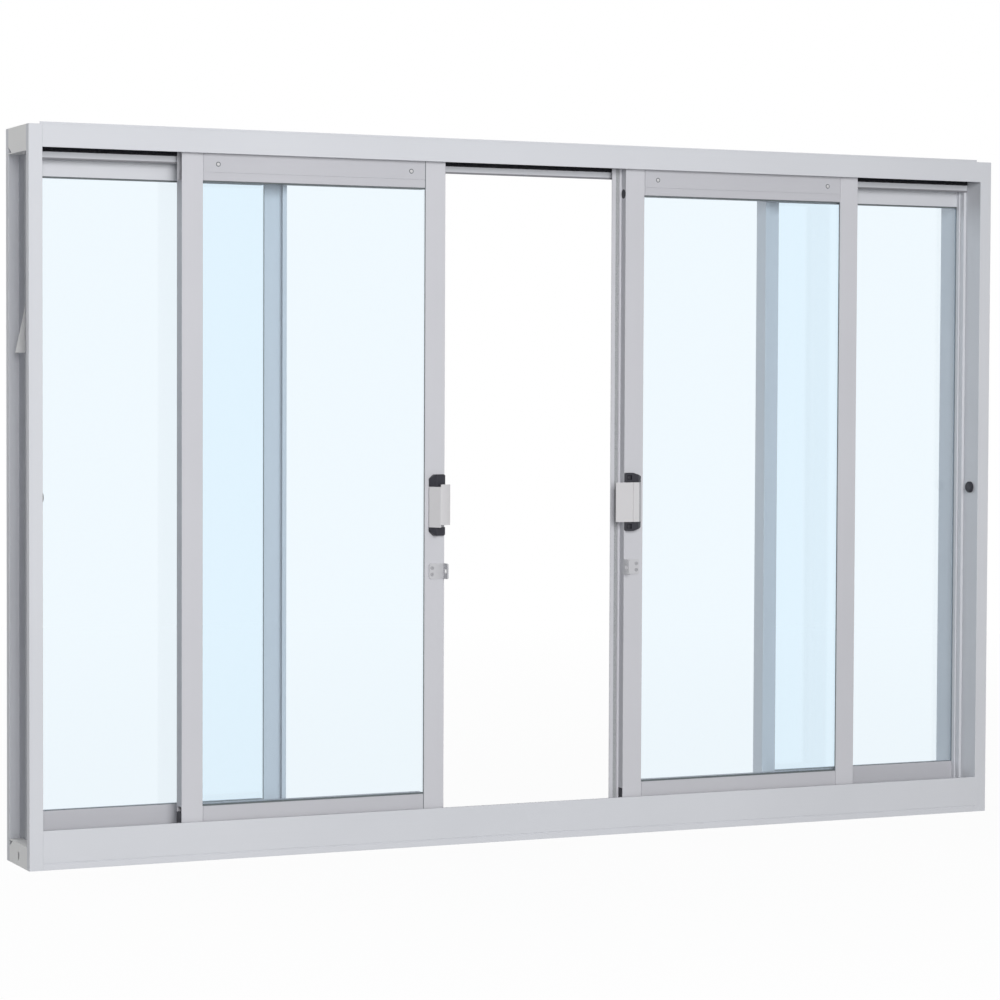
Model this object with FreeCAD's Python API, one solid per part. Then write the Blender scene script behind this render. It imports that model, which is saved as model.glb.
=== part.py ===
import FreeCAD, Part
import math
import os

from FreeCAD import Vector

# A four light aluminium window seen from the room. Millimetres, X to the right, Y to the
# outside, Z up. The origin is the middle of the sill's base. Depths are measured from the
# frame's front plane, and widths from the frame's left or right edge.

# Overall frame
WIDTH = 1520.0
HEIGHT = 1000.0
DEPTH = 111.0
WALL = 1.6
EDGE_RADIUS = 0.4
TINY = 0.01

# Fine grooves along the bars
LINE_WIDE = 1.6
LINE_DEEP = 1.0
JOINT_WIDE = 1.2

# Jamb channel, open to the masonry
JAMB_FACE = 19.0
JAMB_LIP = 12.0
GLAZING_RIB = 4.0
BEAD_DEPTH = 50.0
BEAD_WIDE = 2.0

# Head
FASCIA_DROP = 30.5
RETURN_LIP = 4.0
HEAD_RIB_RISE = 4.0
HEAD_RIB_DEPTH = 11.0
HEAD_GUIDE_DROP = 24.0
HEAD_MIDDLE_DROP = 42.0
HEAD_BACK_DROP = 35.0

# Sill
SILL_FRONT = 53.5
SILL_LINE = 9.0
FRONT_FLOOR = 14.0
REAR_FLOOR = 24.0
REAR_STOP = 10.0
SILL_BACK = 16.0
SILL_MIDDLE = 45.0
SILL_FOOT = 12.0
MIDDLE_FOOT = 24.0
RAIL_TOP = 28.0

# Tracks and glazing
MIDDLE_RIB_DEPTH = 38.0
GLASS_THICK = 4.0
GLASS_SET = 5.5
GASKET_THICK = 1.5
GASKET_BESIDE = 0.3
GASKET_ABOVE = 1.8
GASKET_BELOW = 1.8
GLASS_COVER = 7.0

# Sliding sashes
SASH_FRONT = 10.0
SASH_THICK = 21.0
SASH_WIDTH = 392.0
MEETING_GAP = 5.0
LEFT_PARTED = 148.0
RIGHT_PARTED = 133.5
SASH_WALL = 1.5
STILE_FACE = 30.3
STILE_TUBE = 20.0
FLANGE_SET_BACK = 5.0
RAIL_LIP = 13.0
RAIL_LINE = 10.0
DAYLIGHT_LOW = 73.7
DAYLIGHT_DROP = 67.4
SASH_LOW = 20.0
SASH_DROP = 15.0
TOP_TUBE_DROP = 34.0
BOTTOM_TUBE_LOW = 50.0
TRACK_CLEAR = 5.0

# Meeting stiles
LEFT_MEETING_TUBE = 10.0
RIGHT_MEETING_TUBE = 15.4
STRIP_REACH = 14.6
STRIP_HOLD = 12.0
STRIP_BEAD = 2.6
STRIP_BEAD_PROUD = 1.0
STRIP_PILE_START = 3.2
STRIP_PILE_END = 8.7
STRIP_PILE_DEEP = 0.8

# Fixed lights
FIXED_RAIL_FRONT = 57.0
FIXED_RAIL_THICK = 16.0
LEFT_STILE_X = 354.0
RIGHT_STILE_X = 342.0
FIXED_STILE_FACE = 29.0
FIXED_STILE_TUBE = 20.0
HOOK_FRONT = 45.0
HOOK_WIDE = 6.4
FIXED_DAYLIGHT_LOW = 72.3
FIXED_DAYLIGHT_DROP = 65.7

# Corner plates and wall anchors
PLATE_LOW = 31.0
PLATE_HIGH = 35.0
NOTCH_DEEP = 16.0
NOTCH_TALL = 8.0
SLOT_LONG = 12.5
SLOT_WIDE = 9.0
SLOT_HEIGHT = 13.0
ANCHOR_LOW = 696.0
ANCHOR_HIGH = 760.0
ANCHOR_REACH = 14.0
ANCHOR_THICK = 1.5
ANCHOR_DEPTH = 77.0

# Bumpers
BUMPER_RADIUS = 8.5
BUMPER_LONG = 5.0
BUMPER_BEVEL = 1.5
BUMPER_HEIGHT = 501.0

# Roller carriages
RUN_GAP = 0.3
WHEEL_RADIUS = 9.0
WHEEL_WIDE = 6.0
WHEEL_GROOVE = 2.0
WHEEL_BED = 2.2
WHEEL_PLAY = 1.0
WHEEL_INSET = 60.0
AXLE_RADIUS = 1.5
CHEEK_LONG = 8.0
CARRIAGE_LONG = 46.0
CARRIAGE_HIGH = 12.0

# Guides and end blocks
GUIDE_LONG = 34.0
GUIDE_GAP = 1.0
GUIDE_INSET = 52.5
END_BLOCK_LOW = 34.5
END_BLOCK_HIGH = 65.5
END_BLOCK_PROUD = 0.6
END_BLOCK_WIDE = 6.0

# Latch covers, whose heights over the sash face are called proud
LATCH_LOW = 441.0
LATCH_COVER_LOW = 453.0
LATCH_COVER_HIGH = 510.5
LATCH_HIGH = 528.0
LATCH_FOOT = 3.5
LATCH_ROUND = 3.0
HOOD_WIDE = 25.0
HOOD_CREST = 12.5
HOOD_STEP = 5.0
HOOD_LAP = 2.5
HOOD_PROUD = 17.5
HOOD_DROPS = (0.3, 1.2, 2.8)
HOOD_SHELL = 1.5
HOOD_RAISED = 3.5
TONGUE_WIDE = 26.0
TONGUE_CREST = 19.0
TONGUE_LINE = 9.5
TONGUE_LINE_WIDE = 2.0
TONGUE_PROUD = 11.0
TONGUE_OVERHANG = 18.4
TONGUE_THICK = 2.0

# Latch end caps
CAP_INSET = 0.5
CAP_ROUND = 2.5
LEFT_CAP_BEVEL = (6.5, 6.0)
LEFT_CAP_PROUD = 12.5
LEFT_CAP_CREST = 17.0
LEFT_CAP_STEP = 16.0
LEFT_CAP_LOW = 5.0
LEFT_CAP_EDGE = 1.0
RIGHT_CAP_BEVEL = (15.0, 5.0)
RIGHT_CAP_PROUD = 9.0
RIGHT_CAP_LOW = 7.5
RIGHT_CAP_RAISED = 2.0
SOCKET_START = 0.8
SOCKET_WIDE = 7.5
SOCKET_HIGH = 7.3
SOCKET_DEEP = 3.5

# Padlock hasps
HASP_WIDE = 24.0
HASP_LOW = 379.5
HASP_HIGH = 401.5
HASP_THICK = 2.0
HASP_PROUD = 16.0
HASP_ROUND = 3.5
HASP_HOLE_RADIUS = 4.0
HASP_HOLE_PROUD = 8.5

# Plug in the right meeting stile
PLUG_RADIUS = 6.8
PLUG_DROP = 66.0

HALF = WIDTH / 2
FRONT = -DEPTH / 2
CEILING = HEIGHT - WALL
SASH_BACK = SASH_FRONT + SASH_THICK
SASH_MIDDLE = SASH_FRONT + SASH_THICK / 2
FIXED_BACK = FIXED_RAIL_FRONT + FIXED_RAIL_THICK
SASH_GLASS = SASH_FRONT + GLASS_SET
FIXED_GLASS = FIXED_RAIL_FRONT + GLASS_SET
GLAZING_SLOT = GLASS_THICK + 2 * GASKET_THICK
DAYLIGHT_HIGH = HEIGHT - DAYLIGHT_DROP
FIXED_DAYLIGHT_HIGH = HEIGHT - FIXED_DAYLIGHT_DROP
SASH_HIGH = HEIGHT - SASH_DROP
TOP_TUBE_HIGH = HEIGHT - TOP_TUBE_DROP
LEFT_SHUT_X = HALF - MEETING_GAP / 2 - SASH_WIDTH
LEFT_SASH_X = LEFT_SHUT_X - LEFT_PARTED
RIGHT_SASH_X = HALF + MEETING_GAP / 2 + RIGHT_PARTED


def sheet(path, wall):
    """Outline of a sheet of even thickness on the right of an open path, or left if negative."""
    normals = []
    for (a, b), (c, d) in zip(path, path[1:]):
        length = math.hypot(c - a, d - b)
        normals.append(((d - b) / length, (a - c) / length))
    far = []
    for index, (a, b) in enumerate(path):
        before = normals[max(index - 1, 0)]
        after = normals[min(index, len(normals) - 1)]
        reach = wall / (1 + before[0] * after[0] + before[1] * after[1])
        far.append((a + (before[0] + after[0]) * reach, b + (before[1] + after[1]) * reach))
    return list(path) + far[::-1]


def outline_wire(points, shown, radius, place):
    """Closed wire through points in a plane, with an arc at each corner that is shown."""
    corners = [Vector(*point, 0) for point in points]
    stops = []
    for index, corner in enumerate(corners):
        if not (radius and shown[index]):
            stops.append([place(corner)])
            continue
        back = corners[index - 1] - corner
        ahead = corners[(index + 1) % len(corners)] - corner
        half_turn = back.getAngle(ahead) / 2
        trim = min(radius / math.tan(half_turn), back.Length / 2, ahead.Length / 2)
        back.normalize()
        ahead.normalize()
        inset = trim / math.cos(half_turn) - trim * math.tan(half_turn)
        middle = corner + (back + ahead).normalize() * inset
        stops.append([place(corner + back * trim), place(middle), place(corner + ahead * trim)])
    edges = []
    for index, stop in enumerate(stops):
        if len(stop) > 1:
            edges.append(Part.Arc(*stop).toShape())
        edges.append(Part.LineSegment(stop[-1], stops[(index + 1) % len(stops)][0]).toShape())
    return Part.Wire(edges)


def bar_x(points, x0, x1, radius=0):
    """Bar along X with an outline of (depth, height) points, rounded on the room side."""
    nearest = min(depth for depth, height in points) + TINY
    shown = [depth < nearest for depth, height in points]
    wire = outline_wire(points, shown, radius, lambda p: Vector(x0, FRONT + p.x, p.y))
    return Part.Face(wire).extrude(Vector(x1 - x0, 0, 0))


def bar_y(points, depth0, depth1, radius):
    """Bar along Y with an outline of (x, height) points, rounded past the second point."""
    shown = [index > 1 for index in range(len(points))]
    wire = outline_wire(points, shown, radius, lambda p: Vector(p.x, FRONT + depth0, p.y))
    return Part.Face(wire).extrude(Vector(0, depth1 - depth0, 0))


def bar_z(points, z0, z1, radius=0):
    """Bar along Z with an outline of (x, depth) points, rounded on the room side."""
    nearest = min(depth for x, depth in points) + TINY
    shown = [depth < nearest for x, depth in points]
    wire = outline_wire(points, shown, radius, lambda p: Vector(p.x, FRONT + p.y, z0))
    return Part.Face(wire).extrude(Vector(0, 0, z1 - z0))


def block(x0, x1, depth0, depth1, z0, z1):
    """Box between two corners."""
    size = (x1 - x0, depth1 - depth0, z1 - z0)
    return Part.makeBox(*size, Vector(x0, FRONT + depth0, z0))


def rod_x(radius, x0, x1, depth, height):
    """Round bar along X."""
    return Part.makeCylinder(radius, x1 - x0, Vector(x0, FRONT + depth, height), Vector(1, 0, 0))


def joined(shapes):
    """One solid from shapes that overlap."""
    return shapes[0].fuse(shapes[1:]).removeSplitter()


def mirrored(shape):
    """The same shape on the other side of the window's middle."""
    return shape.mirror(Vector(0, 0, 0), Vector(1, 0, 0))


def filleted(shape, radius, chosen):
    """Shape with the edges rounded whose bounding boxes are chosen."""
    return shape.makeFillet(radius, [edge for edge in shape.Edges if chosen(edge.BoundBox)])


def rectangle(a0, a1, b0, b1):
    """Corner points of a rectangle."""
    return [(a0, b0), (a1, b0), (a1, b1), (a0, b1)]


def glazed_outlines(tube, face, front, back, shows=0):
    """Tube, its hollow, front lip and back lip of a glazed bar, as (across, depth) points."""
    wall = SASH_WALL
    slot = front + GLASS_SET - GLAZING_SLOT / 2
    back_face = face + shows
    hollow = rectangle(wall, tube - wall, front + wall, back - wall)
    front_lip = sheet([(face, slot), (face, front), (tube - wall, front)], wall)
    back_lip = sheet([(tube - wall, back), (back_face, back), (back_face, slot + GLAZING_SLOT)], wall)
    return [rectangle(0, tube, front, back), hollow, front_lip, back_lip]


def flanged_outlines(tube, face, front, back):
    """The same for a stile, with a flat flange behind the glass instead of the back lip."""
    outlines = glazed_outlines(tube, face, front, back)
    slot_back = front + GLASS_SET + GLAZING_SLOT / 2
    flange = rectangle(tube - SASH_WALL, face - FLANGE_SET_BACK, slot_back, slot_back + SASH_WALL)
    return outlines[:3] + [flange]


def stile(outlines, edge, inward, z0, z1):
    """Upright bar from outlines measured across from an edge; the second outline is hollow."""
    bars = []
    for outline in outlines:
        placed = [(edge + inward * across, depth) for across, depth in outline]
        bars.append(bar_z(placed, z0, z1, EDGE_RADIUS))
    return joined([bars[0].cut(bars[1])] + bars[2:])


# Frame

def make_jamb():
    """Left jamb: a channel open to the wall, with a beaded glazing rib on its inner face."""
    edge = -HALF
    face = edge + JAMB_FACE
    root = face - WALL / 2
    rib = face + GLAZING_RIB
    rib_back = FIXED_GLASS - GLAZING_SLOT / 2
    lip_back = FIXED_GLASS + GLAZING_SLOT / 2
    channel = sheet([
        (edge, DEPTH - JAMB_LIP), (edge, DEPTH), (face, DEPTH),
        (face, 0), (edge, 0), (edge, JAMB_LIP)], WALL)
    rib_path = sheet([
        (root, rib_back), (rib, rib_back),
        (rib, MIDDLE_RIB_DEPTH + WALL), (root, MIDDLE_RIB_DEPTH + WALL)], WALL)
    return joined([
        bar_z(channel, 0, HEIGHT, EDGE_RADIUS),
        bar_z(rib_path, REAR_FLOOR, CEILING),
        bar_z(rectangle(rib - WALL / 2, rib + BEAD_WIDE, BEAD_DEPTH, FIXED_RAIL_FRONT), REAR_FLOOR, CEILING),
        bar_z(rectangle(root, rib, lip_back, lip_back + WALL), REAR_FLOOR, CEILING)])


def make_head():
    """Head: front fascia, track guide, middle rib and back wall under one top."""
    x1 = HALF - JAMB_FACE
    shell = sheet([
        (RETURN_LIP, HEIGHT - FASCIA_DROP), (0, HEIGHT - FASCIA_DROP), (0, HEIGHT),
        (DEPTH, HEIGHT), (DEPTH, HEIGHT - HEAD_BACK_DROP)], WALL)
    root = HEIGHT - WALL / 2
    ribs = [
        rectangle(HEAD_RIB_DEPTH, HEAD_RIB_DEPTH + WALL, root, HEIGHT + HEAD_RIB_RISE),
        rectangle(SASH_MIDDLE - WALL / 2, SASH_MIDDLE + WALL / 2, HEIGHT - HEAD_GUIDE_DROP, root),
        rectangle(MIDDLE_RIB_DEPTH, MIDDLE_RIB_DEPTH + WALL, HEIGHT - HEAD_MIDDLE_DROP, root),
        rectangle(FIXED_BACK, FIXED_BACK + WALL, HEIGHT - HEAD_BACK_DROP, root)]
    return joined([bar_x(shell, -x1, x1, EDGE_RADIUS)] + [bar_x(rib, -x1, x1) for rib in ribs])


def make_sill():
    """Sill: front wall, roller rail, middle leg and sloped outer ledge."""
    x1 = HALF - JAMB_FACE
    front = sheet([(SILL_FOOT, 0), (0, 0), (0, SILL_FRONT), (RETURN_LIP, SILL_FRONT)], WALL)
    ledge = sheet([
        (MIDDLE_RIB_DEPTH + WALL / 2, REAR_FLOOR), (FIXED_BACK + WALL, REAR_FLOOR),
        (DEPTH, SILL_BACK), (DEPTH, 0), (DEPTH - SILL_FOOT, 0)], WALL)
    middle = sheet([
        (MIDDLE_RIB_DEPTH + MIDDLE_FOOT, 0), (MIDDLE_RIB_DEPTH, 0), (MIDDLE_RIB_DEPTH, SILL_MIDDLE)], WALL)
    walls = [
        ledge,
        middle,
        rectangle(WALL / 2, MIDDLE_RIB_DEPTH + WALL / 2, FRONT_FLOOR - WALL, FRONT_FLOOR),
        rectangle(SASH_MIDDLE - WALL / 2, SASH_MIDDLE + WALL / 2, FRONT_FLOOR - WALL / 2, RAIL_TOP),
        rectangle(FIXED_BACK, FIXED_BACK + WALL, REAR_FLOOR - WALL / 2, REAR_FLOOR + REAR_STOP)]
    sill = joined([bar_x(front, -x1, x1, EDGE_RADIUS)] + [bar_x(wall, -x1, x1) for wall in walls])
    return sill.cut(block(-x1, x1, -WALL, LINE_DEEP, SILL_LINE - LINE_WIDE / 2, SILL_LINE + LINE_WIDE / 2))


def make_corner_plate(height):
    """Folded plate that closes the foot of the left jamb's channel up to a height."""
    edge = -HALF
    front, back = JAMB_LIP, DEPTH - JAMB_LIP
    top = height - WALL
    upright = block(edge, edge + WALL, front, back, 0, height)
    shelf = block(edge, edge + JAMB_FACE - WALL, front, back, top, height)
    corners = [(back - NOTCH_DEEP, top), (back, top), (back, top - NOTCH_TALL)]
    notch = bar_x(corners, edge, edge + WALL)
    return joined([upright, shelf]).cut(notch)


def plate_slot():
    """Upright slot with round ends for the left corner plate."""
    reach = SLOT_LONG / 2 - SLOT_WIDE / 2
    depth = DEPTH / 2
    x0 = -HALF - WALL
    x1 = -HALF + 2 * WALL
    low, high = SLOT_HEIGHT - reach, SLOT_HEIGHT + reach
    ends = [rod_x(SLOT_WIDE / 2, x0, x1, depth, height) for height in (low, high)]
    return joined([block(x0, x1, depth - SLOT_WIDE / 2, depth + SLOT_WIDE / 2, low, high)] + ends)


def make_corner_plates():
    """Bottom plate with its slot, and top plate, at the left jamb."""
    low = make_corner_plate(PLATE_LOW).cut(plate_slot())
    high = make_corner_plate(PLATE_HIGH).mirror(Vector(0, 0, HEIGHT / 2), Vector(0, 0, 1))
    return Part.makeCompound([low, high])


def make_anchor():
    """Triangular tab bent out of the left jamb's web into the channel."""
    web = -HALF + JAMB_FACE - WALL
    corners = [(web, ANCHOR_LOW), (web, ANCHOR_HIGH), (web - ANCHOR_REACH, ANCHOR_LOW)]
    points = [Vector(x, FRONT + ANCHOR_DEPTH, z) for x, z in corners + corners[:1]]
    return Part.Face(Part.makePolygon(points)).extrude(Vector(0, ANCHOR_THICK, 0))


def make_bumper():
    """Rubber button on the left jamb that stops the sash."""
    x = -HALF + JAMB_FACE
    tip = x + BUMPER_LONG - TINY
    button = rod_x(BUMPER_RADIUS, x, x + BUMPER_LONG, SASH_MIDDLE, BUMPER_HEIGHT)
    return button.makeChamfer(BUMPER_BEVEL, [edge for edge in button.Edges if edge.BoundBox.XMin > tip])


# Fixed lights

def make_fixed_rail(stile_x, start, end, shows):
    """Rail of the left fixed light, from the height of its outer edge to its daylight edge."""
    x0 = -HALF + JAMB_FACE + GLAZING_RIB
    x1 = -HALF + stile_x
    inward = 1 if end > start else -1
    face = abs(end - start)
    bars = []
    for outline in glazed_outlines(face - RAIL_LIP, face, FIXED_RAIL_FRONT, FIXED_BACK, shows):
        placed = [(depth, start + inward * across) for across, depth in outline]
        bars.append(bar_x(placed, x0, x1))
    return joined([bars[0].cut(bars[1])] + bars[2:])


def make_fixed_stile(stile_x):
    """Inner stile of the left fixed light, with the interlock hook on its free edge."""
    front = FIXED_RAIL_FRONT
    outlines = flanged_outlines(FIXED_STILE_TUBE, FIXED_STILE_FACE, front, FIXED_BACK)
    hook = sheet([(0, front + WALL), (0, HOOK_FRONT), (HOOK_WIDE, HOOK_FRONT)], -WALL)
    edge = -HALF + stile_x + FIXED_STILE_FACE
    return stile(outlines + [hook], edge, -1, REAR_FLOOR, CEILING)


def pane(x0, x1, middle, z0, z1):
    """Flat glass."""
    return block(x0, x1, middle - GLASS_THICK / 2, middle + GLASS_THICK / 2, z0, z1)


def gasket(glass, middle, left, right, low, high, set_back):
    """Rubber channel round a pane, narrower behind it at the sides by the set back."""
    half = GLAZING_SLOT / 2
    rim = GASKET_THICK / 2
    box = glass.BoundBox
    depths = (middle - half, middle + half)
    ring = block(box.XMin - rim, box.XMax + rim, *depths, box.ZMin - rim, box.ZMax + rim)
    front = block(left + GASKET_BESIDE, right - GASKET_BESIDE, *depths, low, high)
    rear = block(left - set_back, right + set_back, middle, middle + half, low, high)
    return ring.cut([front, rear, glass])


def make_fixed_glazing(stile_x):
    """Glass and gasket of the left fixed light."""
    jamb = -HALF + JAMB_FACE
    right = -HALF + stile_x
    low, high = FIXED_DAYLIGHT_LOW, FIXED_DAYLIGHT_HIGH
    x0 = jamb + GASKET_THICK / 2
    glass = pane(x0, right + GLASS_COVER, FIXED_GLASS, low - GLASS_COVER, high + GLASS_COVER)
    left, high = jamb + GLAZING_RIB, high - GASKET_ABOVE
    return glass, gasket(glass, FIXED_GLASS, left, right, low, high, FLANGE_SET_BACK)


def make_fixed_light(stile_x):
    """Pieces of a fixed light, drawn on the left, whose stile starts so far from the frame's edge."""
    glass, rubber = make_fixed_glazing(stile_x)
    return {
        "top_rail": make_fixed_rail(stile_x, CEILING, FIXED_DAYLIGHT_HIGH, GASKET_ABOVE),
        "bottom_rail": make_fixed_rail(stile_x, REAR_FLOOR, FIXED_DAYLIGHT_LOW, 0),
        "inner_stile": make_fixed_stile(stile_x), "glass": glass, "gasket": rubber}


# Sliding sashes, drawn with the outer edge at zero and the meeting edge at the sash's width

def end_block(x0, x1, depth1):
    """Nylon block that fills a pocket in the foot of a stile."""
    return block(x0, x1, SASH_FRONT + SASH_WALL, depth1 - SASH_WALL, END_BLOCK_LOW, END_BLOCK_HIGH)


def track_notches():
    """Spaces that the head's guide and the sill's rail take in the ends of the stiles."""
    half = WALL / 2 + TRACK_CLEAR
    depths = (SASH_MIDDLE - half, SASH_MIDDLE + half)
    reach = SASH_WIDTH + STILE_FACE
    low = block(-reach, reach, *depths, 0, RAIL_TOP + TRACK_CLEAR)
    high = block(-reach, reach, *depths, HEIGHT - HEAD_GUIDE_DROP - TRACK_CLEAR, HEIGHT)
    return [low, high]


def make_outer_stile():
    """Stile on the jamb side of a sash, open at both ends of its outer wall."""
    depths = (SASH_FRONT + SASH_WALL, SASH_BACK - SASH_WALL)
    openings = [
        block(0, 2 * SASH_WALL, *depths, DAYLIGHT_HIGH, SASH_HIGH),
        block(0, 2 * SASH_WALL, *depths, SASH_LOW, DAYLIGHT_LOW)]
    outlines = flanged_outlines(STILE_TUBE, STILE_FACE, SASH_FRONT, SASH_BACK)
    outer = stile(outlines, 0, 1, SASH_LOW, SASH_HIGH)
    return outer.cut(track_notches() + openings)


def make_meeting_stile(tube_depth, spaces):
    """Meeting stile, a shallow tube with a wall behind it that covers the rails' ends."""
    tube_back = SASH_FRONT + tube_depth
    root = STILE_TUBE - SASH_WALL
    wall = rectangle(root, STILE_TUBE, tube_back - SASH_WALL, SASH_BACK)
    outlines = flanged_outlines(STILE_TUBE, STILE_FACE, SASH_FRONT, tube_back) + [wall]
    meeting = stile(outlines, SASH_WIDTH, -1, SASH_LOW, SASH_HIGH)
    return meeting.cut(track_notches() + spaces)


def make_outer_block():
    """Nylon end block of the outer stile."""
    return end_block(-END_BLOCK_PROUD, END_BLOCK_WIDE, SASH_BACK)


def make_meeting_block(tube_depth, proud):
    """Nylon end block of a meeting stile, which stands proud of its side."""
    return end_block(SASH_WIDTH - END_BLOCK_WIDE, SASH_WIDTH + proud, SASH_FRONT + tube_depth)


def make_plug():
    """Round plug in the side of the right meeting stile."""
    depth = SASH_FRONT + RIGHT_MEETING_TUBE / 2
    return rod_x(PLUG_RADIUS, SASH_WIDTH - SASH_WALL, SASH_WIDTH, depth, HEIGHT - PLUG_DROP)


def make_overlap_strip():
    """Strip behind the right meeting stile that closes the gap, with a bead and a pile groove."""
    depth = SASH_FRONT + RIGHT_MEETING_TUBE
    edge = SASH_WIDTH
    ends = (RAIL_TOP + TRACK_CLEAR, HEIGHT - HEAD_GUIDE_DROP - TRACK_CLEAR)
    strip = block(edge - STRIP_HOLD, edge + STRIP_REACH, depth, depth + WALL, *ends)
    bead = block(edge, edge + STRIP_BEAD, depth - STRIP_BEAD_PROUD, depth + WALL / 2, *ends)
    groove = block(
        edge + STRIP_PILE_START, edge + STRIP_PILE_END, depth - WALL, depth + STRIP_PILE_DEEP, *ends)
    return joined([strip, bead]).cut(groove)


def make_sash_rail(top):
    """Top or bottom rail of a sash: glazing lips, a tube, and two walls past it."""
    x0, x1 = STILE_FACE, SASH_WIDTH - STILE_FACE
    front, back, wall = SASH_FRONT, SASH_BACK, SASH_WALL
    light = DAYLIGHT_HIGH if top else DAYLIGHT_LOW
    tube_end = TOP_TUBE_HIGH if top else BOTTOM_TUBE_LOW
    end = SASH_HIGH if top else SASH_LOW
    shows = GASKET_ABOVE if top else GASKET_BELOW
    out = 1 if top else -1
    tube_start = light + out * RAIL_LIP
    low, high = sorted((tube_start, tube_end))
    tube = bar_x(rectangle(front, back, low, high), x0, x1)
    hollow = bar_x(rectangle(front + wall, back - wall, low + wall, high - wall), x0, x1)
    shapes = [tube.cut(hollow)]
    for face, inward, radius, edge in ((front, 1, EDGE_RADIUS, light), (back, -1, 0, light - out * shows)):
        mouth = SASH_GLASS - inward * GLAZING_SLOT / 2
        lip = sheet([(mouth, edge), (face, edge), (face, tube_start + out * wall)], out * inward * wall)
        skirt = rectangle(*sorted((face, face + inward * wall)), *sorted((tube_end - out * wall, end)))
        shapes += [bar_x(lip, x0, x1, radius), bar_x(skirt, x0, x1)]
    joints = [
        block(x, x + JOINT_WIDE, front - LINE_DEEP, front + LINE_DEEP, 0, HEIGHT)
        for x in (x0, x1 - JOINT_WIDE)]
    rail = joined(shapes).cut(joints)
    if top:
        line = light + RAIL_LINE
        rail = rail.cut(block(x0, x1, 0, front + LINE_DEEP, line, line + LINE_WIDE))
    return rail


def make_sash_glazing():
    """Glass and gasket of a sash."""
    left, right = STILE_FACE, SASH_WIDTH - STILE_FACE
    low, high = DAYLIGHT_LOW, DAYLIGHT_HIGH
    cover = GLASS_COVER
    glass = pane(left - cover, right + cover, SASH_GLASS, low - cover, high + cover)
    low, high = low + GASKET_BELOW, high - GASKET_ABOVE
    return glass, gasket(glass, SASH_GLASS, left, right, low, high, FLANGE_SET_BACK)


def make_carriage(x):
    """Nylon carriage with a grooved wheel on its axle."""
    base = SASH_FRONT + SASH_WALL
    across = (base, SASH_BACK - SASH_WALL)
    axle = RAIL_TOP + RUN_GAP + WHEEL_RADIUS - WHEEL_GROOVE
    half = WHEEL_WIDE / 2
    bed = WHEEL_BED / 2
    outline = [
        (0, -half), (WHEEL_RADIUS, -half), (WHEEL_RADIUS - WHEEL_GROOVE, -bed),
        (WHEEL_RADIUS - WHEEL_GROOVE, bed), (WHEEL_RADIUS, half), (0, half)]
    centre = Vector(x, FRONT + SASH_MIDDLE, axle)
    points = [centre + Vector(radius, along, 0) for radius, along in outline + outline[:1]]
    wheel = Part.Face(Part.makePolygon(points)).revolve(centre, Vector(0, 1, 0), 360)
    rod = Part.makeCylinder(
        AXLE_RADIUS, across[1] - across[0], Vector(x, FRONT + base, axle), Vector(0, 1, 0))
    low = BOTTOM_TUBE_LOW - CARRIAGE_HIGH
    body = block(x - CARRIAGE_LONG / 2, x + CARRIAGE_LONG / 2, *across, low, BOTTOM_TUBE_LOW)
    cheeks = block(x - CHEEK_LONG / 2, x + CHEEK_LONG / 2, *across, axle - CHEEK_LONG / 2, BOTTOM_TUBE_LOW)
    reach = WHEEL_RADIUS + WHEEL_PLAY
    gap = half + WHEEL_PLAY
    pocket = block(x - reach, x + reach, SASH_MIDDLE - gap, SASH_MIDDLE + gap, 0, axle + reach)
    return joined([joined([body, cheeks]).cut(pocket), rod, wheel])


def make_rollers():
    """The two roller carriages of a sash."""
    return Part.makeCompound([make_carriage(x) for x in (WHEEL_INSET, SASH_WIDTH - WHEEL_INSET)])


def make_top_guides():
    """Two nylon blocks that hold the top rail's walls on the head's guide."""
    across = (SASH_FRONT + SASH_WALL, SASH_BACK - SASH_WALL)
    half = WALL / 2 + GUIDE_GAP
    floor = HEIGHT - HEAD_GUIDE_DROP - GUIDE_GAP
    blocks = []
    for x in (GUIDE_INSET, SASH_WIDTH - GUIDE_INSET):
        ends = (x - GUIDE_LONG / 2, x + GUIDE_LONG / 2)
        groove = block(*ends, SASH_MIDDLE - half, SASH_MIDDLE + half, floor, SASH_HIGH)
        blocks.append(block(*ends, *across, TOP_TUBE_HIGH, SASH_HIGH).cut(groove))
    return Part.makeCompound(blocks)


# Latch, drawn on the meeting edge

def proud_points(points):
    """Outline points from (distance inward of the meeting edge, height over the sash face)."""
    return [(SASH_WIDTH - inward, SASH_FRONT - proud) for inward, proud in points]


def make_latch_hood():
    """Left cover: a foot and a slope that rise to a curved hood over the other latch's tongue."""
    crown = [
        (HOOD_CREST - HOOD_STEP * index, HOOD_PROUD - drop)
        for index, drop in enumerate((0,) + HOOD_DROPS)]
    path = proud_points([(HOOD_WIDE, 0), (HOOD_WIDE, LATCH_FOOT)] + crown)
    top = LATCH_COVER_HIGH + HOOD_RAISED
    cover = bar_z(sheet(path, -HOOD_SHELL), LATCH_COVER_LOW, top, LATCH_ROUND)
    base = block(
        SASH_WIDTH - HOOD_WIDE, SASH_WIDTH - HOOD_CREST, SASH_FRONT - HOOD_SHELL, SASH_FRONT,
        LATCH_COVER_LOW, LATCH_COVER_HIGH)
    crest = SASH_WIDTH - HOOD_CREST
    over_slope = block(0, crest, -HOOD_PROUD, SASH_FRONT, LATCH_COVER_HIGH, top)
    under_hood = block(
        crest, SASH_WIDTH + HOOD_LAP + HOOD_SHELL, -HOOD_PROUD, SASH_FRONT,
        LATCH_COVER_LOW, LATCH_COVER_LOW + HOOD_RAISED)
    return joined([cover, base]).cut([over_slope, under_hood])


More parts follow.
